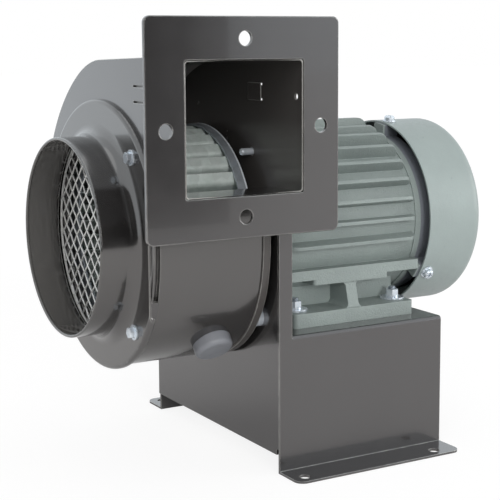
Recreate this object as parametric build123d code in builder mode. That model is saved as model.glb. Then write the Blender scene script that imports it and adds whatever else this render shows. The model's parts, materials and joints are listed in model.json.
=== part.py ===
from build123d import *
from math import cos, radians, sin
import os

os.makedirs("parts", exist_ok=True)

# Base and housing plate (mm)
sheet = 1.5
frame_sheet = 2.0
base_length = 163.0
base_depth = 220.0
base_height = 113.0
foot_width = 30.0
foot_hole_spacing = 130.0
foot_hole_inset = 20.0
foot_hole_r = 4.5
plate_x = -76.5
plate_bottom = 15.0
plate_top = 288.0
strip_width = 12.0
bend_r = 3.0

# Motor, metric frame size 80 with feet
shaft_height = 80.0
foot_span_a = 125.0
foot_span_b = 100.0
first_foot_x = 38.0
foot_x0, foot_x1 = 27.0, 148.5
foot_half_width = foot_span_a / 2 + 17.5
foot_plate = 12.0
foot_top = -shaft_height + foot_plate
foot_wall_y = 49.0
ledge_x0, ledge_x1 = 25.0, 159.0
ledge_top, ledge_bottom = -33.5, -42.0
ledge_step_x0, ledge_step_x1 = 50.0, 125.6
ledge_step_z = -46.6
web_x, web_width, web_fillet = 87.3, 10.5, 4.0
frame_x0, frame_x1 = 20.0, 156.0
barrel_r = 71.0
barrel_wall = 11.0
bore_r = barrel_r - barrel_wall
fin_height = 12.0
fin_r = barrel_r + fin_height
ledge_half_width = barrel_r + 3
fin_first_angle = 2.9
fin_pitch = 12.2
fin_root = 5.0
top_fin_height = 15.5
top_fin_r = barrel_r + top_fin_height
axis_y = -10.0
axis_z = base_height + shaft_height

# Scroll: outer radius of the wrapper every 30 degrees from the front, going down and back
scroll_radii = [93.0, 98.0, 104.5, 109.5, 114.0, 118.0, 121.5, 125.0, 131.0]
scroll_top = 139.8
scroll_x0, scroll_x1 = -106.0, -6.0
lip = 5.0
joint_depth = 4.0
joint_y = -74.0
joint_z0, joint_z1 = -42.0, 28.0
outlet_y = -146.0
outlet_size = 100.0
outlet_z = 92.5
flange_size = 162.0
flange_thickness = 3.0
flange_pcd = 130.0
flange_hole_r = 5.5
tongue_r = 9.0

# Inlet
cover_r = 110.0
cover_x = -112.0
cover_cut = 95.0
collar_r = 80.5
collar_x = -143.0
collar_fillet = 11.0
eye_r = 75.0
guard_wire = 1.4
guard_x = scroll_x0 - sheet - 2 * guard_wire
guard_r = 88.0
guard_rim = 5.0
guard_pitch = 10.5
cover_screw_r = 96.0
housing_bolt_r = 96.0
plug_r = 16.0
plug_height = 9.5
plug_angle = 56.2
plug_x = -39.1

# Impeller and shaft
impeller_r = 86.0
blade_depth = 16.0
blade_sheet = 1.0
blade_count = 34
blade_bend_r = 82.0
blade_tip_r = 84.8
blade_lean = 6.2
ring_lip = 7.0
ring_edge = 1.6
blade_x0, blade_x1 = -97.0, -17.0
shaft_r = 9.5
shaft_end = -52.0
shaft_shoulder = -12.0
bearing_r, bearing_bore_r, bearing_width = 23.5, 10.0, 14.0
inner_ring_r = 14.0
front_bearing_x, rear_bearing_x = 4.0, 160.0
shield_r = barrel_r + 1
shield_flange_r = bore_r
shield_screw_r = (shield_flange_r + barrel_r) / 2
shield_rim_x = 174.0
stator_x0, stator_x1 = 48.0, 128.0
rotor_r = 34.6
air_gap = 0.4

# Fan cowl
cowl_x0, cowl_x1 = 163.5, 222.5
cowl_r = fin_r + 0.5
cowl_corner = 10.5
cowl_screw_x = 170.6
cowl_screw_angles = (98, 214, 336)
fan_x0, fan_x1 = 181.0, 201.0
fan_shaft_r = 7.0

# Terminal box on the far side of the motor
box_x0, box_x1 = 55.0, 135.0
box_z0, box_z1 = -15.0, 55.0
box_gap, box_depth = 5.0, 34.0
box_y0 = barrel_r + box_gap
box_y1 = box_y0 + box_depth

# Fasteners, radius of the shank
m4, m5, m6 = 2.0, 2.5, 3.0
rivet_nut_r = 2.9
hole_clearance = 0.5
fit_gap = 0.3
running_gap = 0.05

duct_floor = outlet_z - outlet_size / 2
duct_top = outlet_z + outlet_size / 2
duct_back_y = outlet_y + flange_thickness
motor_axis = Axis((0, axis_y, axis_z), (1, 0, 0))
side = Plane(origin=(plate_x, axis_y, axis_z), x_dir=(1, 0, 0), z_dir=(0, -1, 0))
gland_plane = Plane(origin=(plate_x + box_x1, axis_y + (box_y0 + box_y1) / 2 + 1, axis_z + 20),
                    x_dir=(0, 1, 0), z_dir=(1, 0, 0))


def across(x):
    """Plane across the motor axis, x from the housing plate; its x runs along Y and its y along Z."""
    return Plane(origin=(plate_x + x, axis_y, axis_z), x_dir=(0, 1, 0), z_dir=(1, 0, 0))


def on_scroll(angle, radius):
    """Point at an angle counted from the front, going down and back."""
    return (-radius * cos(radians(angle)), -radius * sin(radians(angle)))


def scroll_outline(grow, extend=0):
    """Closed outline of the scroll and its outlet duct, moved outwards by grow, its mouth extended."""
    spiral = [on_scroll(30 * i, r + grow) for i, r in enumerate(scroll_radii)]
    top = (0, scroll_top + grow)
    top_z, floor_z = duct_top + sheet + grow, duct_floor - sheet - grow
    mouth = [(duct_back_y - extend, top_z), (duct_back_y - extend, floor_z)]
    if extend:
        mouth = [(duct_back_y, top_z)] + mouth
    with BuildLine() as outline:
        Spline(*spiral, top, tangents=[(0, -1), (-1, (top_z - top[1]) / -duct_back_y)],
               tangent_scalars=(1, 1))
        Polyline(top, *mouth)
        FilletPolyline(mouth[-1], (spiral[0][0], floor_z), spiral[0], radius=tongue_r - grow)
    return outline.edges()


def slits():
    """Pair of narrow slits near the outlet."""
    with Locations((-74, 116)):
        with GridLocations(0, 12, 1, 2):
            Rectangle(21, 1.6)


def bolt_spots(radius):
    """Four positions on the diagonals of a circle round the motor axis."""
    return PolarLocations(radius, 4, start_angle=45)


def foot_bolt_spots():
    """Four bolt positions of the motor feet."""
    middle = (plate_x + first_foot_x + foot_span_b / 2, axis_y)
    corners = [(middle[0] + i * foot_span_b / 2, middle[1] + j * foot_span_a / 2)
               for i in (-1, 1) for j in (-1, 1)]
    return Locations(*corners)


def radial(angle, x, radius):
    """Plane that faces outwards from the motor axis."""
    way = (0, cos(radians(angle)), sin(radians(angle)))
    return Plane(origin=(plate_x + x, axis_y + radius * way[1], axis_z + radius * way[2]),
                 x_dir=(1, 0, 0), z_dir=way)


def far_side(y):
    """Plane facing +Y, y from the motor axis, sketch x along -X."""
    return Plane(origin=(plate_x, axis_y + y, axis_z), x_dir=(-1, 0, 0), z_dir=(0, 1, 0))


def box_outline(grow):
    """Outline of the terminal box on its far-side plane."""
    with Locations((-(box_x0 + box_x1) / 2, (box_z0 + box_z1) / 2)):
        RectangleRounded(box_x1 - box_x0 + 2 * grow, box_z1 - box_z0 + 2 * grow, 5 + grow)


def lid_screw_spots():
    """Four screw positions in the corners of the terminal box."""
    across_x, across_z = (box_x1 - box_x0) / 2 - 7, (box_z1 - box_z0) / 2 - 7
    return Locations(*[(-(box_x0 + box_x1) / 2 + i * across_x, (box_z0 + box_z1) / 2 + j * across_z)
                       for i in (-1, 1) for j in (-1, 1)])


def hexagon(width):
    """Hexagon by its width across flats."""
    RegularPolygon(width / 2, 6, major_radius=False)


with BuildPart() as pedestal:
    with BuildSketch(Plane.YZ.offset(plate_x)) as section:
        with Locations((0, base_height / 2)):
            Rectangle(base_depth, base_height)
        fillet(section.vertices().group_by(Axis.Y)[-1], radius=bend_r)
        with Locations((0, base_height / 2 - frame_sheet)):
            Rectangle(base_depth - 2 * frame_sheet, base_height, mode=Mode.SUBTRACT)
        with Locations((0, frame_sheet / 2)):
            Rectangle(base_depth + 2 * foot_width, frame_sheet)
            Rectangle(base_depth - 2 * frame_sheet, frame_sheet, mode=Mode.SUBTRACT)
    extrude(amount=base_length)
    # Tall strip of the front panel beside the scroll
    with Locations((plate_x, -base_depth / 2, base_height - 2 * bend_r)):
        Box(strip_width, frame_sheet, plate_top - base_height + 2 * bend_r,
            align=(Align.MIN, Align.MIN, Align.MIN))
    foot_corners = pedestal.edges().filter_by(Axis.Z).group_by(SortBy.LENGTH)[0]
    fillet([e for e in foot_corners if abs(e.center().Y) > base_depth / 2 + 1], radius=8)
    with BuildSketch(Plane.XY):
        with GridLocations(foot_hole_spacing, base_depth + 2 * foot_hole_inset, 2, 2):
            Circle(foot_hole_r)
    extrude(amount=frame_sheet, mode=Mode.SUBTRACT)
    with BuildSketch(Plane.XY.offset(base_height)):
        with foot_bolt_spots():
            Circle(m6 + hole_clearance)
    extrude(amount=-frame_sheet, mode=Mode.SUBTRACT)
    # Room for the housing plate inside the front panel
    with Locations((plate_x, frame_sheet - base_depth / 2, plate_bottom)):
        Box(frame_sheet, base_depth + foot_width, plate_top, align=(Align.MIN, Align.MIN, Align.MIN),
            mode=Mode.SUBTRACT)

with BuildPart() as housing_plate:
    with BuildSketch(Plane.YZ.offset(plate_x)) as outline:
        with Locations((frame_sheet, (plate_bottom + plate_top) / 2)):
            Rectangle(base_depth, plate_top - plate_bottom)
        chamfer(outline.vertices().group_by(Axis.Y)[-1], length=18)
        with Locations((frame_sheet - base_depth / 2, plate_bottom)):
            Rectangle(6, 10, mode=Mode.SUBTRACT)
        with Locations((axis_y, axis_z)):
            Circle(34, mode=Mode.SUBTRACT)
            with bolt_spots(housing_bolt_r):
                Circle(m4 + hole_clearance, mode=Mode.SUBTRACT)
    extrude(amount=frame_sheet)
    # Return strip wrapped outside the back panel
    with Locations((plate_x, base_depth / 2, plate_bottom + 5)):
        Box(strip_width, frame_sheet, plate_top - plate_bottom - 30, align=(Align.MIN, Align.MIN, Align.MIN))

# Scroll
plug_foot = on_scroll(plug_angle, 103.8)
plug_tilt = radians(plug_angle - 6)
plug_plane = Plane(origin=(plate_x + plug_x, axis_y + plug_foot[0], axis_z + plug_foot[1]),
                   x_dir=(1, 0, 0), z_dir=(0, -cos(plug_tilt), -sin(plug_tilt)))

with BuildPart() as scroll_wrapper:
    with BuildSketch(across(scroll_x0)):
        make_face(scroll_outline(0))
        make_face(scroll_outline(-sheet, 20), mode=Mode.SUBTRACT)
    extrude(amount=scroll_x1 - scroll_x0)
    # Recessed joint at the front edge beside the inlet
    with BuildSketch(across(scroll_x0)):
        make_face(scroll_outline(-sheet))
        make_face(scroll_outline(-sheet - joint_depth), mode=Mode.SUBTRACT)
        with Locations((joint_y, joint_z0 - sheet)):
            Rectangle(60, joint_z1 - joint_z0 + 2 * sheet, align=(Align.MAX, Align.MIN), mode=Mode.INTERSECT)
    extrude(amount=lip + sheet)
    with BuildSketch(across(scroll_x0)):
        make_face(scroll_outline(sheet))
        make_face(scroll_outline(-joint_depth), mode=Mode.SUBTRACT)
        with Locations((joint_y, joint_z0)):
            Rectangle(60, joint_z1 - joint_z0, align=(Align.MAX, Align.MIN), mode=Mode.INTERSECT)
    extrude(amount=lip, mode=Mode.SUBTRACT)
    with BuildSketch(plug_plane):
        Circle(plug_r - 5)
    extrude(amount=4, both=True, mode=Mode.SUBTRACT)

with BuildPart() as access_plug:
    with BuildSketch(plug_plane.offset(-6)):
        Circle(plug_r)
    extrude(amount=6 + plug_height)
    fillet(access_plug.edges().filter_by(GeomType.CIRCLE).sort_by_distance(plug_plane.offset(20).origin)[0],
           radius=4)
    with BuildSketch(across(scroll_x0)):
        make_face(scroll_outline(0))
    extrude(amount=scroll_x1 - scroll_x0, mode=Mode.SUBTRACT)
    with BuildSketch(plug_plane.offset(-5)):
        Circle(plug_r - 5 - fit_gap)
    extrude(amount=7)

with BuildPart() as inlet_side_plate:
    with BuildSketch(across(scroll_x0 - sheet)):
        make_face(scroll_outline(sheet))
    extrude(amount=sheet + lip)
    with BuildSketch(across(scroll_x0)):
        make_face(scroll_outline(0, 20))
    extrude(amount=lip, mode=Mode.SUBTRACT)
    # Lip cut away beside the recessed joint
    with BuildSketch(across(scroll_x0)):
        with Locations((joint_y, joint_z0)):
            Rectangle(60, joint_z1 - joint_z0, align=(Align.MAX, Align.MIN))
    extrude(amount=lip, mode=Mode.SUBTRACT)
    with BuildSketch(across(scroll_x0)):
        Circle(eye_r)
        with bolt_spots(cover_screw_r):
            Circle(m5 + hole_clearance)
        slits()
    extrude(amount=-sheet, mode=Mode.SUBTRACT)

with BuildPart() as motor_side_plate:
    with BuildSketch(across(scroll_x1 + sheet)):
        make_face(scroll_outline(sheet))
    extrude(amount=-sheet - lip)
    with BuildSketch(across(scroll_x1)):
        make_face(scroll_outline(0, 20))
    extrude(amount=-lip, mode=Mode.SUBTRACT)
    with BuildSketch(across(scroll_x1)):
        Circle(34)
        with bolt_spots(housing_bolt_r):
            Circle(rivet_nut_r + fit_gap)
        slits()
        with Locations((-135, 114)):
            Circle(2.3)
    extrude(amount=sheet, mode=Mode.SUBTRACT)

with BuildPart() as outlet_flange:
    flange_plane = Plane(origin=(plate_x + (scroll_x0 + scroll_x1) / 2, axis_y + outlet_y, axis_z + outlet_z),
                         x_dir=(1, 0, 0), z_dir=(0, -1, 0))
    with BuildSketch(flange_plane):
        RectangleRounded(flange_size, flange_size, 5)
        RectangleRounded(outlet_size, outlet_size, 2, mode=Mode.SUBTRACT)
        with PolarLocations(flange_pcd / 2, 4):
            Circle(flange_hole_r, mode=Mode.SUBTRACT)
    extrude(amount=-flange_thickness)
    chamfer(outlet_flange.faces().sort_by(Axis.Y)[0].outer_wire().edges(), length=0.5)

with BuildPart() as inlet_cover:
    with BuildSketch(side) as profile:
        with BuildLine():
            FilletPolyline((collar_x, collar_r - sheet / 2), (cover_x + sheet / 2, collar_r - sheet / 2),
                           (cover_x + sheet / 2, (collar_r + cover_r) / 2), radius=collar_fillet)
            FilletPolyline((cover_x + sheet / 2, (collar_r + cover_r) / 2),
                           (cover_x + sheet / 2, cover_r - sheet / 2),
                           (scroll_x0 - sheet, cover_r - sheet / 2), radius=2.2)
        trace(line_width=sheet)
        with Locations((collar_x, collar_r - 1.3)):
            Circle(1.3)
    revolve(axis=motor_axis)
    with BuildSketch(across(cover_x)):
        with bolt_spots(cover_screw_r):
            Circle(m5 + hole_clearance)
    extrude(amount=sheet, mode=Mode.SUBTRACT)
    # Straight cut beside the front wall of the scroll
    with BuildSketch(across(cover_x)):
        with Locations((-cover_cut, 0)):
            Rectangle(40, 2 * cover_r, align=(Align.MAX, Align.CENTER))
    extrude(amount=20, mode=Mode.SUBTRACT)

with BuildPart() as inlet_guard:
    wires = 2 * int(guard_r / guard_pitch) + 1
    for layer, turn in enumerate((45, -45)):
        with BuildSketch(across(guard_x + layer * guard_wire)):
            with Locations(Rotation(0, 0, turn)):
                with GridLocations(0, guard_pitch, 1, wires):
                    Rectangle(2 * guard_r, guard_wire)
            Circle(guard_r - 1, mode=Mode.INTERSECT)
        extrude(amount=guard_wire)
    with BuildSketch(across(guard_x)):
        Circle(guard_r)
        Circle(guard_r - guard_rim, mode=Mode.SUBTRACT)
    extrude(amount=2 * guard_wire)

with BuildPart() as inlet_cover_screws:
    with BuildSketch(across(cover_x)):
        with bolt_spots(cover_screw_r):
            Circle(6.2)
    extrude(amount=-1.3)
    with BuildSketch(across(cover_x - 1.3)):
        with bolt_spots(cover_screw_r):
            hexagon(8)
    extrude(amount=-4)
    with BuildSketch(across(cover_x)):
        with bolt_spots(cover_screw_r):
            Circle(m5)
    extrude(amount=9)

with BuildPart() as housing_bolts:
    with BuildSketch(across(frame_sheet)):
        with bolt_spots(housing_bolt_r):
            hexagon(7)
    extrude(amount=3)
    with BuildSketch(across(frame_sheet)):
        with bolt_spots(housing_bolt_r):
            Circle(m4)
    extrude(amount=scroll_x1 - frame_sheet - 8)

# Closed rivet nuts, seen from the duct as round-ended pins
with BuildPart() as housing_nuts:
    with BuildSketch(across(scroll_x1 + sheet)):
        with bolt_spots(housing_bolt_r):
            Circle(rivet_nut_r)
    extrude(amount=-sheet - 11)
    fillet(housing_nuts.edges().filter_by(GeomType.CIRCLE).group_by(Axis.X)[0], radius=1.8)
    with BuildSketch(across(scroll_x1 + sheet)):
        with bolt_spots(housing_bolt_r):
            Circle(rivet_nut_r + 1.5)
    extrude(amount=0.8)
    with BuildSketch(across(scroll_x1 + sheet + 0.8)):
        with bolt_spots(housing_bolt_r):
            Circle(m4)
    extrude(amount=-sheet - 9.8, mode=Mode.SUBTRACT)

with BuildPart() as housing_spacers:
    with BuildSketch(across(0)):
        with bolt_spots(housing_bolt_r):
            Circle(8)
            Circle(rivet_nut_r + 1.8, mode=Mode.SUBTRACT)
    extrude(amount=scroll_x1 + sheet)

# Motor
with BuildPart() as foot_webs:
    with BuildSketch(side) as web_section:
        with Locations((web_x, ledge_step_z)):
            Rectangle(web_width + 2 * web_fillet, ledge_step_z - foot_top, align=(Align.CENTER, Align.MAX))
        for way in (-1, 1):
            with Locations((web_x + way * (web_width / 2 + 10), (ledge_step_z + foot_top) / 2)):
                RectangleRounded(20, ledge_step_z - foot_top, web_fillet, mode=Mode.SUBTRACT)
    extrude(amount=foot_half_width, both=True)
    with BuildSketch(across(web_x)):
        with BuildLine():
            Polyline((2 - ledge_half_width, ledge_step_z), (2 - foot_half_width, foot_top),
                     (foot_half_width - 2, foot_top), (ledge_half_width - 2, ledge_step_z), close=True)
        make_face()
    extrude(amount=20, both=True, mode=Mode.INTERSECT)

with BuildPart() as motor_frame:
    with BuildSketch(across(frame_x0 + 2)):
        for k in range(-1, 7):
            for angle in (fin_first_angle + k * fin_pitch, 180 - fin_first_angle - k * fin_pitch):
                with Locations(Rotation(0, 0, angle)):
                    with Locations((barrel_r - 3, 0)):
                        Trapezoid(fin_root, fin_r - barrel_r + 4, 86, rotation=-90,
                                  align=(Align.CENTER, Align.MIN))
    extrude(amount=frame_x1 - frame_x0 - 6)
    with BuildSketch(side) as fin_limit:
        with Locations(((frame_x0 + frame_x1) / 2 - 1, 0)):
            Rectangle(frame_x1 - frame_x0 - 6, fin_r, align=(Align.CENTER, Align.MIN))
        fillet(fin_limit.vertices().group_by(Axis.Y)[-1], radius=10)
    revolve(axis=motor_axis, mode=Mode.INTERSECT)
    # Taller fin along the top
    with BuildSketch(side) as top_fin:
        with Locations(((frame_x0 + frame_x1) / 2 - 1, barrel_r - 3)):
            Rectangle(frame_x1 - frame_x0 - 6, top_fin_r - barrel_r + 3, align=(Align.CENTER, Align.MIN))
        fillet(top_fin.vertices().group_by(Axis.Y)[-1], radius=10)
    extrude(amount=fin_root / 2, both=True)
    with BuildSketch(across(frame_x0)):
        Circle(barrel_r)
    extrude(amount=frame_x1 - frame_x0)
    # Feet: ledges with a thicker middle, side walls, webs and foot plates on both sides
    for x0, x1, half_width, corner, bottom, top in (
            (ledge_x0, ledge_x1, ledge_half_width, 3, ledge_bottom, ledge_top),
            (ledge_step_x0, ledge_step_x1, ledge_half_width, 3, ledge_step_z, ledge_bottom + 2),
            (foot_x0, foot_x1, foot_wall_y, 3, foot_top, ledge_top),
            (foot_x0, foot_x1, foot_half_width, 4, -shaft_height, foot_top)):
        with BuildSketch(Plane.XY.offset(axis_z + bottom)):
            with Locations((plate_x + (x0 + x1) / 2, axis_y)):
                RectangleRounded(x1 - x0, 2 * half_width, corner)
        extrude(amount=top - bottom)
    add(foot_webs)
    with BuildSketch(across(foot_x0)):
        with Locations((0, -shaft_height)):
            Rectangle(82, 2 * (shaft_height - 62), align=(Align.CENTER, Align.CENTER))
    extrude(amount=foot_x1 - foot_x0, mode=Mode.SUBTRACT)
    with BuildSketch(across(frame_x1)):
        Circle(shield_r + fit_gap)
    extrude(amount=10, mode=Mode.SUBTRACT)
    # Pad of the terminal box, with the fins cut away beside it
    with BuildSketch(far_side(box_y0)):
        box_outline(4)
    extrude(amount=fin_r, mode=Mode.SUBTRACT)
    with BuildSketch(far_side(box_y0)):
        box_outline(1)
    extrude(amount=-26)
    with BuildSketch(across(frame_x0)):
        Circle(bore_r)
    extrude(amount=frame_x1 - frame_x0, mode=Mode.SUBTRACT)
    with BuildSketch(Plane.XY.offset(base_height)):
        with foot_bolt_spots():
            Circle(m6 + 1)
    extrude(amount=shaft_height + foot_top, mode=Mode.SUBTRACT)
    # Screw holes of the end shields
    for x, depth in ((frame_x0, 13), (frame_x1, -13)):
        with BuildSketch(across(x)):
            with bolt_spots(shield_screw_r):
                Circle(m5 + fit_gap)
        extrude(amount=depth, mode=Mode.SUBTRACT)

with BuildPart() as front_end_shield:
    with BuildSketch(side):
        with BuildLine():
            Polyline((-8, 12), (-8, 29), (2.5, 31), (2.5, 40), (8, shield_flange_r - 2), (14, shield_flange_r),
                     (14, shield_r), (frame_x0, shield_r), (frame_x0, bore_r), (frame_x0 + 3, bore_r),
                     (frame_x0 + 3, bore_r - 4), (14, 50), (10, 31), (front_bearing_x + bearing_width, 29),
                     (front_bearing_x + bearing_width, bearing_r), (front_bearing_x, bearing_r),
                     (front_bearing_x, 12), close=True)
        make_face()
    revolve(axis=motor_axis)
    with BuildSketch(across(14)):
        with bolt_spots(shield_screw_r):
            Circle(m5 + fit_gap)
    extrude(amount=frame_x0 - 14, mode=Mode.SUBTRACT)

with BuildPart() as rear_end_shield:
    back = rear_bearing_x + bearing_width
    with BuildSketch(side):
        with BuildLine():
            Polyline((frame_x1 - 3, bore_r - 4), (frame_x1 - 3, bore_r), (frame_x1, bore_r), (frame_x1, shield_r),
                     (shield_rim_x, shield_r), (shield_rim_x, shield_r - 1.6), (frame_x1 + 6, shield_r - 1.6),
                     (frame_x1 + 6, shield_flange_r), (back - 5, shield_flange_r - 4),
                     (back + 4, 33), (back + 4, fan_shaft_r + 1), (back, fan_shaft_r + 1), (back, bearing_r),
                     (rear_bearing_x, bearing_r), (rear_bearing_x, 29), (back - 6, 31), (rear_bearing_x + 1, 50),
                     close=True)
        make_face()
    revolve(axis=motor_axis)
    with BuildSketch(across(frame_x1 + 6)):
        with bolt_spots(shield_screw_r):
            Circle(m5 + fit_gap)
    extrude(amount=-6, mode=Mode.SUBTRACT)
    # Lugs that carry the cowl screws
    for angle in cowl_screw_angles:
        with BuildSketch(radial(angle, cowl_screw_x - 3, 55)):
            Rectangle(16, 14)
        extrude(amount=cowl_r - 55)
    with BuildSketch(side):
        with Locations((frame_x1, cowl_r - sheet)):
            Rectangle(60, 20, align=(Align.MIN, Align.MIN))
    revolve(axis=motor_axis, mode=Mode.SUBTRACT)
    for angle in cowl_screw_angles:
        with BuildSketch(radial(angle, cowl_screw_x, cowl_r)):
            Circle(m4 + fit_gap)
        extrude(amount=-14, mode=Mode.SUBTRACT)

with BuildPart() as end_shield_screws:
    for x, way in ((14, -1), (frame_x1 + 6, 1)):
        with BuildSketch(across(x)):
            with bolt_spots(shield_screw_r):
                hexagon(8)
        extrude(amount=4 * way)
        with BuildSketch(across(x)):
            with bolt_spots(shield_screw_r):
                Circle(m5)
        extrude(amount=-16 * way)

with BuildPart() as stator_core:
    with BuildSketch(across(stator_x0)):
        Circle(bore_r)
        Circle(rotor_r + air_gap, mode=Mode.SUBTRACT)
        with PolarLocations(rotor_r + 8, 24):
            Rectangle(15, 3, mode=Mode.SUBTRACT)
    extrude(amount=stator_x1 - stator_x0)

with BuildPart() as stator_windings:
    for x in (stator_x0 - 9, stator_x1 + 9):
        with BuildSketch(side):
            with Locations((x, 47)):
                RectangleRounded(18, 16, 5)
        revolve(axis=motor_axis)

with BuildPart() as bearing_outer_rings:
    for x in (front_bearing_x, rear_bearing_x):
        with BuildSketch(side):
            with Locations((x + bearing_width / 2, bearing_r)):
                Rectangle(bearing_width, bearing_r - inner_ring_r - running_gap, align=(Align.CENTER, Align.MAX))
            with Locations((x + bearing_width / 2, bearing_r - 4)):
                Rectangle(bearing_width - 2, bearing_r, align=(Align.CENTER, Align.MAX), mode=Mode.SUBTRACT)
        revolve(axis=motor_axis)

# Turning parts
with BuildPart() as bearing_inner_rings:
    for x in (front_bearing_x, rear_bearing_x):
        with BuildSketch(side):
            with Locations((x + bearing_width / 2, bearing_bore_r)):
                Rectangle(bearing_width, inner_ring_r - bearing_bore_r, align=(Align.CENTER, Align.MIN))
        revolve(axis=motor_axis)

with BuildPart() as motor_shaft:
    with BuildSketch(side):
        with BuildLine():
            Polyline((shaft_end, 0), (shaft_end, shaft_r), (shaft_shoulder, shaft_r),
                     (shaft_shoulder, bearing_bore_r), (front_bearing_x + bearing_width, bearing_bore_r),
                     (front_bearing_x + bearing_width, 12.5), (rear_bearing_x, 12.5),
                     (rear_bearing_x, bearing_bore_r), (back, bearing_bore_r), (back, fan_shaft_r),
                     (fan_x1 + 4, fan_shaft_r), (fan_x1 + 4, 0), close=True)
        make_face()
    revolve(axis=motor_axis)
    with BuildSketch(across(shaft_end)):
        Circle(m6 + fit_gap)
    extrude(amount=18, mode=Mode.SUBTRACT)
    with BuildSketch(radial(90, -34, shaft_r)):
        Rectangle(30, 6)
    extrude(amount=-3.5, mode=Mode.SUBTRACT)

with BuildPart() as shaft_key:
    with BuildSketch(radial(90, -34, shaft_r - 3.5)):
        Rectangle(30, 6)
    extrude(amount=6)

with BuildPart() as rotor_core:
    with BuildSketch(across(stator_x0)):
        Circle(rotor_r)
        Circle(12.5, mode=Mode.SUBTRACT)
    extrude(amount=stator_x1 - stator_x0)

with BuildPart() as rotor_end_rings:
    for x, way in ((stator_x0, -1), (stator_x1, 1)):
        with BuildSketch(across(x)):
            Circle(rotor_r - 1.6)
            Circle(23, mode=Mode.SUBTRACT)
        extrude(amount=8 * way)
        with BuildSketch(across(x + 8 * way)):
            with PolarLocations(28, 8):
                Rectangle(9, 2)
        extrude(amount=7 * way)

with BuildPart() as cooling_fan:
    with BuildSketch(side):
        with Locations((fan_x0, 0)):
            Rectangle(2, 72, align=(Align.MIN, Align.MIN))
            Rectangle(fan_x1 - fan_x0, 13, align=(Align.MIN, Align.MIN))
    revolve(axis=motor_axis)
    with BuildSketch(across(fan_x0)):
        with PolarLocations(45, 8):
            Rectangle(54, 2)
    extrude(amount=fan_x1 - fan_x0)
    with BuildSketch(across(fan_x0)):
        Circle(fan_shaft_r)
    extrude(amount=fan_x1 - fan_x0, mode=Mode.SUBTRACT)

with BuildPart() as fan_retaining_ring:
    with BuildSketch(across(fan_x1)):
        Circle(10.5)
        Circle(fan_shaft_r, mode=Mode.SUBTRACT)
    extrude(amount=1.2)

with BuildPart() as fan_cowl:
    with BuildSketch(side) as cowl_section:
        with Locations((cowl_x0, 0)):
            Rectangle(cowl_x1 - cowl_x0, cowl_r, align=(Align.MIN, Align.MIN))
        fillet(cowl_section.vertices().group_by(Axis.Y)[-1].sort_by(Axis.X)[-1], radius=cowl_corner)
        with Locations((cowl_x0, 0)):
            Rectangle(cowl_x1 - cowl_x0 - sheet - cowl_corner, cowl_r - sheet, align=(Align.MIN, Align.MIN),
                      mode=Mode.SUBTRACT)
            Rectangle(cowl_x1 - cowl_x0 - sheet, cowl_r - sheet - cowl_corner, align=(Align.MIN, Align.MIN),
                      mode=Mode.SUBTRACT)
        with Locations((cowl_x1 - sheet - cowl_corner, cowl_r - sheet - cowl_corner)):
            Circle(cowl_corner - 0.2, mode=Mode.SUBTRACT)
    revolve(axis=motor_axis)
    # Air slots of the rear grille
    with BuildSketch(across(cowl_x1)):
        for radius, count, length in ((56, 20, 20), (32, 12, 18)):
            with PolarLocations(radius, count):
                SlotOverall(length, 5)
        Circle(8)
    extrude(amount=-2 * sheet, mode=Mode.SUBTRACT)
    for angle in cowl_screw_angles:
        with BuildSketch(radial(angle, cowl_screw_x, cowl_r + 2)):
            Circle(m4 + hole_clearance)
        extrude(amount=-6, mode=Mode.SUBTRACT)

with BuildPart() as cowl_screws:
    for angle in cowl_screw_angles:
        with BuildSketch(radial(angle, cowl_screw_x, cowl_r)):
            Circle(5.8)
        extrude(amount=0.9)
        with BuildSketch(radial(angle, cowl_screw_x, cowl_r)):
            Circle(4.6)
        extrude(amount=4)
        with BuildSketch(radial(angle, cowl_screw_x, cowl_r + 4)):
            Circle(4.6)
        extrude(amount=1.2, taper=40)
        with BuildSketch(radial(angle, cowl_screw_x, cowl_r + 6)):
            Rectangle(5.4, 1.2)
            Rectangle(1.2, 5.4)
        extrude(amount=-3, mode=Mode.SUBTRACT)
        with BuildSketch(radial(angle, cowl_screw_x, cowl_r)):
            Circle(m4)
        extrude(amount=-12)

# Foot fasteners, from the bolt head under the base to the nut on the foot
foot_seat = axis_z + foot_top
with BuildPart() as foot_bolts:
    with BuildSketch(Plane.XY.offset(base_height - frame_sheet)):
        with foot_bolt_spots():
            hexagon(10)
    extrude(amount=-4)
    with BuildSketch(Plane.XY.offset(base_height - frame_sheet)):
        with foot_bolt_spots():
            Circle(m6)
    extrude(amount=foot_seat - base_height + frame_sheet + 10.6)

with BuildPart() as foot_washers:
    with BuildSketch(Plane.XY.offset(foot_seat)):
        with foot_bolt_spots():
            Circle(10.5)
            Circle(m6 + fit_gap, mode=Mode.SUBTRACT)
    extrude(amount=1.5)

with BuildPart() as foot_spring_washers:
    with BuildSketch(Plane.XY.offset(foot_seat + 1.5)):
        with foot_bolt_spots():
            Circle(5.6)
            Circle(m6 + fit_gap, mode=Mode.SUBTRACT)
    extrude(amount=1.6)

with BuildPart() as foot_nuts:
    with BuildSketch(Plane.XY.offset(foot_seat + 3.1)):
        with foot_bolt_spots():
            hexagon(10)
            Circle(m6, mode=Mode.SUBTRACT)
    extrude(amount=5)

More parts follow.
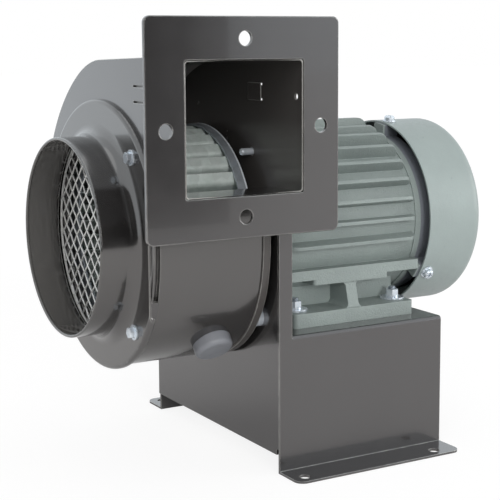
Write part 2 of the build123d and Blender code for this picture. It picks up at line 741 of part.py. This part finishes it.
# Terminal box
with BuildPart() as terminal_box:
    with BuildSketch(far_side(box_y0)):
        box_outline(0)
    extrude(amount=box_y1 - box_y0)
    with BuildSketch(far_side(box_y0 + 3)):
        box_outline(-3)
    extrude(amount=box_y1 - box_y0, mode=Mode.SUBTRACT)
    with BuildSketch(far_side(box_y0 + 3)):
        with lid_screw_spots():
            Circle(5)
    extrude(amount=box_y1 - box_y0 - 3)
    with BuildSketch(far_side(box_y1)):
        with lid_screw_spots():
            Circle(m4 + fit_gap)
    extrude(amount=-14, mode=Mode.SUBTRACT)
    with BuildSketch(gland_plane):
        Circle(8)
    extrude(amount=6, both=True, mode=Mode.SUBTRACT)

with BuildPart() as terminal_box_lid:
    with BuildSketch(far_side(box_y1)):
        box_outline(0.8)
    extrude(amount=6)
    fillet(terminal_box_lid.faces().sort_by(Axis.Y)[-1].edges(), radius=2)
    with BuildSketch(far_side(box_y1)):
        with lid_screw_spots():
            Circle(m4 + hole_clearance)
    extrude(amount=6, mode=Mode.SUBTRACT)

with BuildPart() as lid_screws:
    with BuildSketch(far_side(box_y1 + 6)):
        with lid_screw_spots():
            Circle(4)
    extrude(amount=2.6)
    with BuildSketch(far_side(box_y1 + 6)):
        with lid_screw_spots():
            Circle(m4)
    extrude(amount=-16)

with BuildPart() as terminal_block:
    with BuildSketch(far_side(box_y0 + 3)):
        with Locations((-(box_x0 + box_x1) / 2, (box_z0 + box_z1) / 2)):
            Rectangle(46, 34)
    extrude(amount=9)
    with BuildSketch(far_side(box_y0 + 12)):
        with Locations((-(box_x0 + box_x1) / 2, (box_z0 + box_z1) / 2)):
            with GridLocations(15, 18, 3, 2):
                Circle(m5)
    extrude(amount=9)

with BuildPart() as cable_gland:
    with BuildSketch(gland_plane):
        hexagon(22)
    extrude(amount=6)
    with BuildSketch(gland_plane):
        Circle(9)
    extrude(amount=18)
    with BuildSketch(gland_plane):
        Circle(8 - fit_gap)
    extrude(amount=-8)
    with BuildSketch(gland_plane.offset(18)):
        Circle(5.5)
    extrude(amount=-26, mode=Mode.SUBTRACT)

# Impeller
with BuildPart() as impeller_back_plate:
    with BuildSketch(side):
        with Locations((blade_x1, shaft_r + 0.5)):
            Rectangle(sheet, impeller_r + 1 - shaft_r - 0.5, align=(Align.MIN, Align.MIN))
        with Locations((blade_x1, impeller_r + 1)):
            Rectangle(ring_lip, ring_edge, align=(Align.MAX, Align.MAX))
    revolve(axis=motor_axis)
    with BuildSketch(across(blade_x1)):
        with PolarLocations(31, 6):
            Circle(m5 + fit_gap)
    extrude(amount=sheet, mode=Mode.SUBTRACT)

with BuildPart() as impeller_front_ring:
    with BuildSketch(side):
        with Locations((blade_x0, impeller_r - blade_depth + 2)):
            Rectangle(sheet, blade_depth - 1, align=(Align.MAX, Align.MIN))
        with Locations((blade_x0, impeller_r + 1)):
            Rectangle(ring_lip, ring_edge, align=(Align.MIN, Align.MAX))
    revolve(axis=motor_axis)

with BuildSketch() as blade:
    with BuildLine():
        FilletPolyline(on_scroll(181.5, impeller_r - blade_depth), on_scroll(180, blade_bend_r),
                       on_scroll(180 - blade_lean, blade_tip_r), radius=4)
    trace(line_width=blade_sheet)

with BuildPart() as impeller_blades:
    with BuildSketch(across(blade_x0)):
        with PolarLocations(0, blade_count):
            add(blade.sketch)
    extrude(amount=blade_x1 - blade_x0)

with BuildPart() as impeller_hub:
    with BuildSketch(side):
        with Locations((blade_x1, shaft_r)):
            Rectangle(5, 40 - shaft_r, align=(Align.MAX, Align.MIN))
            Rectangle(blade_x1 - shaft_end + 1, 20 - shaft_r, align=(Align.MAX, Align.MIN))
    revolve(axis=motor_axis)
    with BuildSketch(across(blade_x1)):
        with PolarLocations(31, 6):
            Circle(m5 + fit_gap)
    extrude(amount=-5, mode=Mode.SUBTRACT)
    with BuildSketch(across(blade_x1)):
        with Locations((0, shaft_r - 2)):
            Rectangle(6, 4.6, align=(Align.CENTER, Align.MIN))
    extrude(amount=-50, mode=Mode.SUBTRACT)

with BuildPart() as impeller_rivets:
    with BuildSketch(across(blade_x1 + sheet)):
        with PolarLocations(31, 6):
            Circle(m5)
    extrude(amount=-sheet - 5)
    for x, way in ((blade_x1 + sheet, 1), (blade_x1 - 5, -1)):
        with BuildSketch(across(x)):
            with PolarLocations(31, 6):
                Circle(4.5)
        extrude(amount=2 * way)

with BuildPart() as hub_washer:
    with BuildSketch(across(shaft_end - 1)):
        Circle(15)
        Circle(m6 + fit_gap, mode=Mode.SUBTRACT)
    extrude(amount=-2.5)

with BuildPart() as hub_screw:
    with BuildSketch(across(shaft_end - 3.5)):
        hexagon(10)
    extrude(amount=-4)
    with BuildSketch(across(shaft_end - 3.5)):
        Circle(m6)
    extrude(amount=19)

pieces = {
    "pedestal": pedestal, "housing_plate": housing_plate, "scroll_wrapper": scroll_wrapper,
    "access_plug": access_plug, "inlet_side_plate": inlet_side_plate, "motor_side_plate": motor_side_plate,
    "outlet_flange": outlet_flange, "inlet_cover": inlet_cover, "inlet_guard": inlet_guard,
    "inlet_cover_screws": inlet_cover_screws, "housing_bolts": housing_bolts, "housing_nuts": housing_nuts,
    "housing_spacers": housing_spacers, "motor_frame": motor_frame, "front_end_shield": front_end_shield,
    "rear_end_shield": rear_end_shield, "end_shield_screws": end_shield_screws, "stator_core": stator_core,
    "stator_windings": stator_windings, "bearing_outer_rings": bearing_outer_rings,
    "bearing_inner_rings": bearing_inner_rings, "motor_shaft": motor_shaft, "shaft_key": shaft_key,
    "rotor_core": rotor_core, "rotor_end_rings": rotor_end_rings, "cooling_fan": cooling_fan,
    "fan_retaining_ring": fan_retaining_ring, "fan_cowl": fan_cowl, "cowl_screws": cowl_screws,
    "foot_bolts": foot_bolts, "foot_washers": foot_washers, "foot_spring_washers": foot_spring_washers,
    "foot_nuts": foot_nuts, "terminal_box": terminal_box, "terminal_box_lid": terminal_box_lid,
    "lid_screws": lid_screws, "terminal_block": terminal_block, "cable_gland": cable_gland,
    "impeller_back_plate": impeller_back_plate, "impeller_front_ring": impeller_front_ring,
    "impeller_blades": impeller_blades, "impeller_hub": impeller_hub, "impeller_rivets": impeller_rivets,
    "hub_washer": hub_washer, "hub_screw": hub_screw,
}
for label, piece in pieces.items():
    piece.part.label = label
    export_step(piece.part, f"parts/{label}.step")
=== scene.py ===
import json
from math import cos, pi, radians, sin

import bmesh
import bpy
from mathutils import Matrix, Vector


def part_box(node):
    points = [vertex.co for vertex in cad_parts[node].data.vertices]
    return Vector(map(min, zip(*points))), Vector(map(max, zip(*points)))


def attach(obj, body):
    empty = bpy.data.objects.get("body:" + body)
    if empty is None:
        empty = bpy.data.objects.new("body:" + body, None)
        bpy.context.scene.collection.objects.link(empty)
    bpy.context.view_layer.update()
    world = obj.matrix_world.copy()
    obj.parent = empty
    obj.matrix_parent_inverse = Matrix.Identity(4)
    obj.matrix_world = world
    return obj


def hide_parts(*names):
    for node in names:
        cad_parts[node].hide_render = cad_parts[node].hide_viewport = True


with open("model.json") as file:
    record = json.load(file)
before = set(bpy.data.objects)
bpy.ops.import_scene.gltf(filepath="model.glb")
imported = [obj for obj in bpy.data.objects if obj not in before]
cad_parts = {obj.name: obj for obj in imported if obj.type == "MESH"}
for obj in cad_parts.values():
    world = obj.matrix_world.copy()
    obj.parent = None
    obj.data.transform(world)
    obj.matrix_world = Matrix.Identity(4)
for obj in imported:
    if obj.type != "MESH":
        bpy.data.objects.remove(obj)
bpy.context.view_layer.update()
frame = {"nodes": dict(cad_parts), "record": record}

# Sizes in metres that the CAD shares: motor axis, housing plate, side plates and outlet
axis_y, axis_z = -0.010, 0.193
plate_x = -0.0765
inlet_side_x = plate_x - 0.106
motor_side_x = plate_x - 0.006
rear_shield_x = plate_x + 0.1615
outlet_half = 0.05

# Radius to which the shader rounds painted edges
paint_edge_r = 0.0009


def linear(hex_colour):
    """Linear colour of an sRGB hex string."""
    parts = [int(hex_colour[i:i + 2], 16) / 255 for i in (0, 2, 4)]
    return [c / 12.92 if c <= 0.04045 else ((c + 0.055) / 1.055) ** 2.4 for c in parts] + [1.0]


def scaled(colour, factor):
    """A lighter or darker version of a colour."""
    return [min(1.0, c * factor) for c in colour[:3]] + [1.0]


class Nodes:
    """A node tree with short calls to add and link nodes."""

    def __init__(self, tree):
        self.tree = tree
        tree.nodes.clear()

    def add(self, kind, settings=None, **inputs):
        node = self.tree.nodes.new("ShaderNode" + kind)
        for key, value in (settings or {}).items():
            setattr(node, key, value)
        for key, value in inputs.items():
            self.feed(node.inputs[key.replace("_", " ")], value)
        return node

    def feed(self, socket, value):
        if hasattr(value, "is_output"):
            self.tree.links.new(value, socket)
        else:
            socket.default_value = value

    def math(self, operation, a, b=0.0):
        node = self.tree.nodes.new("ShaderNodeMath")
        node.operation = operation
        self.feed(node.inputs[0], a)
        self.feed(node.inputs[1], b)
        return node.outputs[0]

    def dot(self, a, b):
        node = self.tree.nodes.new("ShaderNodeVectorMath")
        node.operation = "DOT_PRODUCT"
        self.feed(node.inputs[0], a)
        self.feed(node.inputs[1], b)
        return node.outputs["Value"]

    def mix(self, factor, a, b):
        node = self.tree.nodes.new("ShaderNodeMix")
        node.data_type = "RGBA"
        self.feed(node.inputs[0], factor)
        self.feed(node.inputs[6], a)
        self.feed(node.inputs[7], b)
        return node.outputs[2]

    def ramp(self, value, low, high, out_low=0.0, out_high=1.0):
        node = self.tree.nodes.new("ShaderNodeMapRange")
        for socket, item in zip(node.inputs, (value, low, high, out_low, out_high)):
            self.feed(socket, item)
        return node.outputs[0]

    def noise(self, place, scale, detail=3.0, roughness=0.55):
        node = self.add("TexNoise", Scale=scale, Detail=detail, Roughness=roughness, Vector=place)
        return node.outputs[0]


def new_material(name):
    """An empty material, its nodes and the place on the object."""
    material = bpy.data.materials.new(name)
    material.use_nodes = True
    nodes = Nodes(material.node_tree)
    place = nodes.add("TexCoord").outputs["Object"]
    return material, nodes, place


def finish_material(nodes, **inputs):
    """Joins a principled shader with these inputs to the output."""
    shader = nodes.add("BsdfPrincipled", **inputs)
    out = nodes.add("OutputMaterial")
    nodes.tree.links.new(shader.outputs[0], out.inputs[0])


def edge_mask(nodes, normal):
    """0 on flat faces, rising on sharp edges, where the rounded normal turns away."""
    return nodes.math("SUBTRACT", 1.0, nodes.dot(nodes.add("NewGeometry").outputs["Normal"], normal))


def sheet_paint(name, colour, worn, metallic, rough, inside=None, coat=0.6):
    """Semi-gloss paint on sheet metal: flakes, slight orange peel and a painted highlight on thin edges.

    inside is the metallic share and the colour of faces that look towards the motor axis, a lit copy of the
    paint: painted light on inner faces.
    """
    # The light colour below is the tone of the painted highlight on edges
    flake, peel, painted_highlight_colour = 0.06, 0.02, linear("d2d0cb")
    material, nodes, place = new_material(name)
    round_normal = nodes.add("Bevel", {"samples": 4}, Radius=paint_edge_r).outputs[0]
    cloud = nodes.noise(place, 14.0, 4.0)
    flakes = nodes.noise(place, 2600.0, 2.0, 0.6)
    base = nodes.mix(nodes.ramp(cloud, 0.35, 0.7, 0.0, 0.5), colour, worn)
    glint = nodes.mix(nodes.math("MULTIPLY", nodes.ramp(flakes, 0.5, 0.75), flake), base,
                      scaled(colour, 2.0))
    # Edges turn towards that light colour, patchy by noise: a painted highlight on the rounded edges
    painted_edge_highlight = nodes.math("MULTIPLY", nodes.ramp(edge_mask(nodes, round_normal), 0.01, 0.12),
                     nodes.ramp(nodes.noise(place, 90.0, 3.0), 0.3, 0.6, 0.5, 1.0))
    tint = nodes.mix(painted_edge_highlight, glint, painted_highlight_colour)
    smear = nodes.noise(place, 45.0, 5.0, 0.65)
    roughness = nodes.ramp(smear, 0.3, 0.75, rough - 0.02, rough + 0.03)
    # Faces towards the axis take another colour and metallic share: painted light on the inner faces
    if inside:
        blend = 0.004
        inner_metallic, inner_colour = inside
        arm = nodes.add("Mapping", Location=(0, -axis_y, -axis_z), Scale=(0, 1, 1), Vector=place)
        outward = nodes.dot(nodes.add("NewGeometry").outputs["Normal"], arm.outputs[0])
        metallic = nodes.ramp(outward, -blend, 0.0, inner_metallic, metallic)
        tint = nodes.mix(nodes.ramp(outward, -blend, 0.0, 1.0, 0.0), tint, inner_colour)
    skin = nodes.noise(place, 420.0, 2.0)
    bump = nodes.add("Bump", Strength=peel, Distance=0.0004, Height=skin, Normal=round_normal)
    finish_material(nodes, **{"Base Color": tint, "Metallic": metallic, "Roughness": roughness,
                              "Normal": bump.outputs[0], "Coat Weight": coat, "Coat Roughness": 0.04})
    return material


def cast_paint(name, colour, shade, rough=0.5, grain=0.8, scale=700.0, painted_shade_band=None):
    """Thick matt paint over a cast or pressed surface.

    The last argument is a position along the motor axis and the darker colour behind it, painted shade
    where a part runs in under another.
    """
    material, nodes, place = new_material(name)
    round_normal = nodes.add("Bevel", {"samples": 4}, Radius=paint_edge_r).outputs[0]
    cloud = nodes.noise(place, 22.0, 5.0, 0.6)
    speck = nodes.noise(place, 260.0, 3.0, 0.6)
    base = nodes.mix(nodes.ramp(cloud, 0.35, 0.7, 0.0, 0.8), colour, shade)
    tint = nodes.mix(nodes.ramp(speck, 0.66, 0.8, 0.0, 0.35), base, scaled(colour, 0.55))
    # Edges and fin tops turn lighter, patchy by noise: a painted highlight
    painted_edge_highlight = nodes.math("MULTIPLY", nodes.ramp(edge_mask(nodes, round_normal), 0.03, 0.25),
                     nodes.ramp(cloud, 0.4, 0.6, 0.35, 0.8))
    tint = nodes.mix(painted_edge_highlight, tint, scaled(colour, 1.8))
    # Darker colour behind a position along the axis: painted shade
    if painted_shade_band:
        blend = 0.0004
        start, painted_shade_colour = painted_shade_band
        along = nodes.add("SeparateXYZ", Vector=place).outputs[0]
        tint = nodes.mix(nodes.ramp(along, start - blend, start + blend), tint, painted_shade_colour)
    coarse = nodes.math("ADD", nodes.noise(place, scale, 3.0, 0.6),
                        nodes.math("MULTIPLY", nodes.noise(place, scale / 5, 2.0), 0.8))
    bump = nodes.add("Bump", Strength=grain, Distance=0.0006, Height=coarse, Normal=round_normal)
    roughness = nodes.ramp(speck, 0.3, 0.7, rough - 0.06, rough + 0.08)
    finish_material(nodes, **{"Base Color": tint, "Roughness": roughness, "Normal": bump.outputs[0]})
    return material


def bare_metal(name, colour, shade, rough=0.3, streak=0.0, spangle=0.0, thread=None, metallic=1.0,
               edge=0.0005):
    """Plated or bare metal with fine scratches, plating clouds, a painted highlight on edges and painted
    shade in thread grooves.

    spangle is the scale of zinc crystals, and thread is an axis and a pitch.
    """
    material, nodes, place = new_material(name)
    round_normal = nodes.add("Bevel", {"samples": 4}, Radius=edge).outputs[0]
    cloud = nodes.noise(place, 120.0, 4.0, 0.6)
    tint = nodes.mix(nodes.ramp(cloud, 0.3, 0.7), colour, shade)
    if spangle:
        cells = nodes.add("TexVoronoi", Scale=spangle, Vector=place)
        tone = nodes.add("RGBToBW", Color=cells.outputs["Color"]).outputs[0]
        tint = nodes.mix(nodes.ramp(tone, 0.2, 0.9, 0.0, 0.45), tint, scaled(colour, 0.6))
    stretch = nodes.add("Mapping", Scale=(1.0, 1.0, 1.0 + streak * 30), Vector=place).outputs[0]
    scratch = nodes.noise(stretch, 900.0, 3.0, 0.7)
    height = scratch
    if thread:
        axis, pitch = thread
        part = nodes.add("SeparateXYZ", Vector=place).outputs[axis]
        turns = nodes.math("SINE", nodes.math("MULTIPLY", part, 2 * pi / pitch))
        height = nodes.math("ADD", nodes.math("MULTIPLY", scratch, 0.2), turns)
        # Thread grooves turn darker: painted shade in the grooves
        tint = nodes.mix(nodes.ramp(turns, -1.0, 0.2, 0.55, 0.0), tint, scaled(colour, 0.2))
    bump = nodes.add("Bump", Strength=0.6 if thread else 0.12, Distance=0.0004, Height=height,
                     Normal=round_normal)
    roughness = nodes.ramp(cloud, 0.3, 0.7, rough - 0.05, rough + 0.1)
    # Edges turn lighter: a painted highlight on the rounded edges
    painted_edge_highlight = nodes.math("MULTIPLY", nodes.ramp(edge_mask(nodes, round_normal), 0.02, 0.2), 0.8)
    tint = nodes.mix(painted_edge_highlight, tint, scaled(colour, 1.5))
    finish_material(nodes, **{"Base Color": tint, "Metallic": metallic, "Roughness": roughness,
                              "Normal": bump.outputs[0]})
    return material


def moulded(name, colour, shade, rough=0.45):
    """Matt moulded plastic with a fine grain."""
    material, nodes, place = new_material(name)
    round_normal = nodes.add("Bevel", {"samples": 4}, Radius=0.0006).outputs[0]
    cloud = nodes.noise(place, 60.0, 4.0)
    grain = nodes.noise(place, 1500.0, 2.0)
    tint = nodes.mix(nodes.ramp(cloud, 0.3, 0.7), colour, shade)
    bump = nodes.add("Bump", Strength=0.15, Distance=0.0003, Height=grain, Normal=round_normal)
    roughness = nodes.ramp(cloud, 0.3, 0.7, rough - 0.05, rough + 0.08)
    finish_material(nodes, **{"Base Color": tint, "Roughness": roughness, "Normal": bump.outputs[0]})
    return material


# Finishes, each with its colour, a second shade and its roughness
thread_pitch = 0.00125
housing_paint = sheet_paint("housing_paint", linear("696767"), linear("656363"), 0.87, 0.19)
# The scroll's inner faces take a lighter, matt colour: painted light
shell_paint = sheet_paint("shell_paint", linear("6b6968"), linear("676564"), 0.9, 0.18,
                          inside=(0.05, linear("a8a6a4")))
# The collar's inner faces take a less metallic copy of the paint: painted light
cover_paint = sheet_paint("cover_paint", linear("6b6968"), linear("676564"), 0.9, 0.15,
                          inside=(0.35, linear("615f5d")), coat=0.5)
# Light copy of the housing paint for the duct's folded edge: a painted highlight
painted_highlight_edge = sheet_paint("painted_highlight_edge", linear("b4b2ae"), linear("98968f"), 0.8, 0.2)
# Darker, duller copy of the housing paint for walls inside the housing: painted shade
inner_paint = sheet_paint("inner_paint", linear("4f4c4a"), linear("4a4745"), 0.15, 0.25, coat=0.15)
motor_paint = cast_paint("motor_paint", linear("88928f"), linear("7d8684"), 0.44)
cowl_paint = cast_paint("cowl_paint", linear("939e9c"), linear("8c9694"), 0.34, 0.2, 900.0)
# The rear end shield turns darker where it runs in under the cowl: painted shade
shield_paint = cast_paint("shield_paint", linear("88928f"), linear("7d8684"), 0.46,
                          painted_shade_band=(rear_shield_x, linear("666a70")))
zinc = bare_metal("zinc", linear("eaf0f6"), linear("ccd6e0"), 0.2, metallic=0.7)
zinc_thread = bare_metal("zinc_thread", linear("d8e0ea"), linear("b0bac6"), 0.24,
                         thread=(2, thread_pitch), metallic=0.8)
bright_wire = bare_metal("bright_wire", linear("f4f4f2"), linear("dcdcd8"), 0.33, metallic=0.4)
galvanised = bare_metal("galvanised", linear("d4dcd8"), linear("b8c3bd"), 0.38, spangle=120.0,
                        metallic=0.4, edge=0.0008)
# Darker, more metallic copy of the galvanised finish for the impeller's rings: painted shade
wheel_ring = bare_metal("wheel_ring", linear("b2b8be"), linear("969ca2"), 0.34, spangle=160.0,
                        metallic=0.65, edge=0.0012)
# Lighter copy of the rings' metal for their rolled rims: a painted highlight
rolled_edge = bare_metal("rolled_edge", linear("e6ebee"), linear("ccd3d8"), 0.3, metallic=0.45)
shaft_steel = bare_metal("shaft_steel", linear("c4c4c0"), linear("a8a8a4"), 0.25)
lamination = bare_metal("lamination", linear("7c7c7c"), linear("606264"), 0.4, streak=1.0)
copper = bare_metal("copper_wire", linear("b4642e"), linear("8e4a20"), 0.35)
cast_aluminium = bare_metal("cast_aluminium", linear("b8bab8"), linear("9a9c9a"), 0.5)
plug_plastic = moulded("grey_plastic", linear("7e8085"), linear("727479"))
black_plastic = moulded("black_plastic", linear("1c1c1d"), linear("141415"), 0.4)

# Every CAD piece takes the finish of its slot, and a few have one of their own
finish_by_slot = {
    "housing_paint": housing_paint, "motor_paint": motor_paint, "cowl_paint": cowl_paint,
    "zinc": zinc, "bright_wire": bright_wire, "galvanised": galvanised,
    "shaft_steel": shaft_steel, "bearing_steel": shaft_steel, "lamination": lamination,
    "copper_wire": copper, "cast_aluminium": cast_aluminium, "grey_plastic": plug_plastic,
    "black_plastic": black_plastic,
}
slot_of = {s["node"]: s["material_slot"] for s in frame["record"]["subparts"]}
for name, node in frame["nodes"].items():
    node.data.materials.clear()
    node.data.materials.append(finish_by_slot[slot_of[name]])
own_finish = {
    "foot_bolts": zinc_thread, "motor_side_plate": inner_paint, "scroll_wrapper": shell_paint,
    "inlet_cover": cover_paint, "rear_end_shield": shield_paint,
    "impeller_back_plate": wheel_ring, "impeller_front_ring": wheel_ring,
}
for name, finish in own_finish.items():
    frame["nodes"][name].data.materials[0] = finish


def mesh_piece(name, bm, body, material, smooth=True):
    """Turns a bmesh into a piece that rides on a body."""
    mesh = bpy.data.meshes.new(name)
    bm.to_mesh(mesh)
    bm.free()
    for face in mesh.polygons:
        face.use_smooth = smooth
    mesh.materials.append(material)
    obj = bpy.data.objects.new(name, mesh)
    bpy.context.scene.collection.objects.link(obj)
    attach(obj, body)
    return obj


def tube(bm, points, radius, sides=6, closed=False):
    """Round wire along a list of points."""
    rings = []
    count = len(points)
    for i, point in enumerate(points):
        ahead = points[(i + 1) % count] if closed or i < count - 1 else point
        behind = points[i - 1] if closed or i > 0 else point
        way = (ahead - behind).normalized()
        across_a = way.cross(Vector((1, 0, 0)))
        across_a = across_a.normalized() if across_a.length > 1e-6 else Vector((0, 1, 0))
        across_b = way.cross(across_a).normalized()
        rings.append([bm.verts.new(point + radius * (cos(2 * pi * k / sides) * across_a
                                                     + sin(2 * pi * k / sides) * across_b))
                      for k in range(sides)])
    for i in range(count if closed else count - 1):
        a, b = rings[i], rings[(i + 1) % count]
        for k in range(sides):
            bm.faces.new((a[k], a[(k + 1) % sides], b[(k + 1) % sides], b[k]))
    if not closed:
        bm.faces.new(rings[0])
        bm.faces.new(list(reversed(rings[-1])))


def circle(x, radius, count):
    """Points on a circle round the motor axis."""
    return [Vector((x, axis_y + radius * cos(a), axis_z + radius * sin(a)))
            for a in (2 * pi * i / count for i in range(count))]


# Woven wire of the inlet guard, each wire bent over and under the crossing ones
guard_lo, guard_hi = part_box("inlet_guard")
guard_x = (guard_lo.x + guard_hi.x) / 2
guard_r = (guard_hi.y - guard_lo.y) / 2
pitch, wire_r, swing = 0.0105, 0.0008, 0.00018
wire_inset, points_per_pitch = 0.001, 4
rim_inset, rim_r = 0.0014, 0.0012
bm = bmesh.new()
rows = int(guard_r / pitch)
for layer, slant in enumerate((-45, 45)):
    turn = radians(slant)
    along, across = Vector((0, cos(turn), sin(turn))), Vector((0, -sin(turn), cos(turn)))
    for row in range(-rows, rows + 1):
        offset = row * pitch
        half_squared = (guard_r - wire_inset) ** 2 - offset ** 2
        if half_squared <= 0:
            continue
        half = half_squared ** 0.5
        steps = max(4, int(2 * half / pitch * points_per_pitch))
        points = []
        for i in range(steps + 1):
            s = -half + 2 * half * i / steps
            wave = cos(pi * (s / pitch + row + layer)) * swing
            points.append(Vector((guard_x + wave, axis_y, axis_z)) + s * along + offset * across)
        tube(bm, points, wire_r)
tube(bm, circle(guard_x, guard_r - rim_inset, 96), rim_r, 8, closed=True)
guard = mesh_piece("guard_weave", bm, "housing", bright_wire)
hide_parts("inlet_guard")


def rounded_square(half, corner, steps=6):
    """Points round a square in the outlet's plane, anticlockwise from its right side."""
    points = []
    for turn in range(4):
        diagonal = turn * pi / 2 + pi / 4
        middle = Vector((cos(diagonal), sin(diagonal))) * 2 ** 0.5 * (half - corner)
        for i in range(steps + 1):
            angle = turn * pi / 2 + i * pi / 2 / steps
            points.append((middle.x + corner * cos(angle), middle.y + corner * sin(angle)))
    return points


# Folded edge of the duct inside the flange's opening, in a light paint that is a painted highlight
flange_lo, flange_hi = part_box("outlet_flange")
flange_mid = (flange_lo + flange_hi) / 2
bead_r, bead_corner, bead_inset = 0.0007, 0.003, 0.0012
bm = bmesh.new()
tube(bm, [Vector((flange_mid.x + a, flange_lo.y + bead_inset, flange_mid.z + b))
          for a, b in rounded_square(outlet_half - bead_r, bead_corner)], bead_r, 8, closed=True)
mesh_piece("outlet_bead", bm, "housing", painted_highlight_edge)

# Rolled outer edges of the impeller's two rings, in a lighter finish that is a painted highlight
roll_r, roll_inset = 0.0008, 0.0003
for name, at_low in (("impeller_front_ring", True), ("impeller_back_plate", False)):
    ring_lo, ring_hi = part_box(name)
    ring_r = (ring_hi.y - ring_lo.y) / 2 - roll_inset
    roll_x = ring_lo.x + roll_r if at_low else ring_hi.x - roll_r
    bm = bmesh.new()
    tube(bm, circle(roll_x, ring_r, 120), roll_r, 6, closed=True)
    mesh_piece(name + "_roll", bm, "rotor", rolled_edge)

# Lanced bridges that cover the slits of the side plates but for their ends
slit_in_front, slit_above = 0.074, 0.116
slit_y, slit_z = axis_y - slit_in_front, axis_z + slit_above
bridge_front, bridge_behind = 0.0090, 0.0112
bridge_half_z, bridge_sheet = 0.0070, 0.0006
bridge_y0, bridge_y1 = slit_y - bridge_front, slit_y + bridge_behind
for name, plate_face in (("inlet_slit_bridge", inlet_side_x),
                         ("motor_slit_bridge", motor_side_x - bridge_sheet)):
    bm = bmesh.new()
    bmesh.ops.create_cube(bm, size=1.0)
    bmesh.ops.scale(bm, vec=(bridge_sheet, bridge_y1 - bridge_y0, 2 * bridge_half_z), verts=bm.verts)
    bmesh.ops.translate(bm, verts=bm.verts,
                        vec=(plate_face + bridge_sheet / 2, (bridge_y0 + bridge_y1) / 2, slit_z))
    # The darker inner paint gives the bridges painted shade
    mesh_piece(name, bm, "housing", inner_paint, smooth=False)


def aim(obj, target):
    """Turns a light, camera or panel to face a point."""
    obj.rotation_mode = "QUATERNION"
    obj.rotation_quaternion = (Vector(target) - obj.location).to_track_quat("-Z", "Y")


# Camera at the photograph's viewing angle, found by least squares
az, el, roll = radians(-30.25), radians(7.91), radians(-0.29)
target = Vector((plate_x, -0.0736, 0.20444))
distance, lens, sensor = 1.0461, 92.53, 36.0
shift_x, shift_y = -0.012, -0.0606
back = Vector((sin(az) * cos(el), -cos(az) * cos(el), sin(el)))
right = (-back).cross(Vector((0, 0, 1))).normalized()
up = right.cross(-back)
right, up = right * cos(roll) + up * sin(roll), up * cos(roll) - right * sin(roll)
camera_data = bpy.data.cameras.new("camera")
camera = bpy.data.objects.new("camera", camera_data)
bpy.context.scene.collection.objects.link(camera)
camera.matrix_world = (Matrix.Translation(target + back * distance)
                       @ Matrix((right, up, back)).transposed().to_4x4())
camera_data.lens, camera_data.sensor_width = lens, sensor
camera_data.shift_x, camera_data.shift_y = shift_x, shift_y
camera_data.clip_start, camera_data.clip_end = 0.05, 50.0
bpy.context.scene.camera = camera


def soft_sun(name, way, strength, width):
    """Even soft light from one direction, width is its spread in degrees."""
    data = bpy.data.lights.new(name, "SUN")
    data.energy, data.angle = strength, radians(width)
    obj = bpy.data.objects.new(name, data)
    bpy.context.scene.collection.objects.link(obj)
    obj.location = way
    aim(obj, (0, 0, 0))


def panel(name, place, look_at, size, colour, strength):
    """Studio panel that only reflections see."""
    mesh = bpy.data.meshes.new(name)
    corners = bmesh.new()
    bmesh.ops.create_grid(corners, x_segments=1, y_segments=1, size=0.5)
    corners.to_mesh(mesh)
    corners.free()
    obj = bpy.data.objects.new(name, mesh)
    bpy.context.scene.collection.objects.link(obj)
    obj.location, obj.scale = place, (size[0], size[1], 1)
    aim(obj, look_at)
    obj.visible_camera = obj.visible_diffuse = obj.visible_shadow = obj.visible_transmission = False
    material, nodes, _ = new_material(name)
    light = nodes.add("Emission", Color=[*colour, 1], Strength=strength)
    nodes.tree.links.new(light.outputs[0], nodes.add("OutputMaterial").inputs[0])
    mesh.materials.append(material)


soft_sun("key", (-1.0, -1.1, 0.9), 0.6, 30)
soft_sun("front", (-0.2, -1.6, 0.4), 1.45, 20)
soft_sun("top", (0.2, 0.3, 1.9), 0.15, 40)
soft_sun("side", (1.7, -0.9, 0.4), 0.85, 35)
panel("dark_front", (-1.46, -1.5, 1.42), (-1.46, 0, 1.42), (4.12, 2.88), (0.03, 0.03, 0.03), 1.0)
panel("bright_left", (-0.95, 1.3, 0.75), (-0.18, 0, 0.75), (1.6, 1.5), (0.9, 0.96, 1.0), 1.18)

# Floor and world: white to the camera, the world also in reflections and dimmer as a light
floor_half, floor_white, floor_share = 12, 1.075, 0.8
ambient = 0.52
floor_mesh = bpy.data.meshes.new("floor")
bm = bmesh.new()
bmesh.ops.create_grid(bm, x_segments=1, y_segments=1, size=floor_half)
bm.to_mesh(floor_mesh)
bm.free()
floor = bpy.data.objects.new("floor", floor_mesh)
bpy.context.scene.collection.objects.link(floor)
material, nodes, place = new_material("pale_floor")
matt = nodes.add("BsdfDiffuse", Color=[0.93, 0.93, 0.93, 1.0])
white = nodes.add("Emission", Color=[1, 1, 1, 1], Strength=floor_white)
seen = nodes.math("MULTIPLY", nodes.add("LightPath").outputs["Is Camera Ray"], floor_share)
mixed = nodes.add("MixShader", Fac=seen)
nodes.tree.links.new(matt.outputs[0], mixed.inputs[1])
nodes.tree.links.new(white.outputs[0], mixed.inputs[2])
nodes.tree.links.new(mixed.outputs[0], nodes.add("OutputMaterial").inputs[0])
floor_mesh.materials.append(material)

world = bpy.data.worlds.new("studio")
bpy.context.scene.world = world
world.use_nodes = True
nodes = Nodes(world.node_tree)
path = nodes.add("LightPath")
seen = nodes.math("MAXIMUM", path.outputs["Is Camera Ray"],
                  nodes.math("MAXIMUM", path.outputs["Is Glossy Ray"], path.outputs["Is Transmission Ray"]))
strength = nodes.ramp(seen, 0.0, 1.0, ambient, 1.0)
colour = nodes.mix(path.outputs["Is Glossy Ray"], [1, 1, 1, 1], [0.9, 0.96, 1.0, 1])
shade = nodes.add("Background", Color=colour, Strength=strength)
out = nodes.add("OutputWorld")
nodes.tree.links.new(shade.outputs[0], out.inputs[0])

bpy.context.scene.view_settings.view_transform = "Standard"
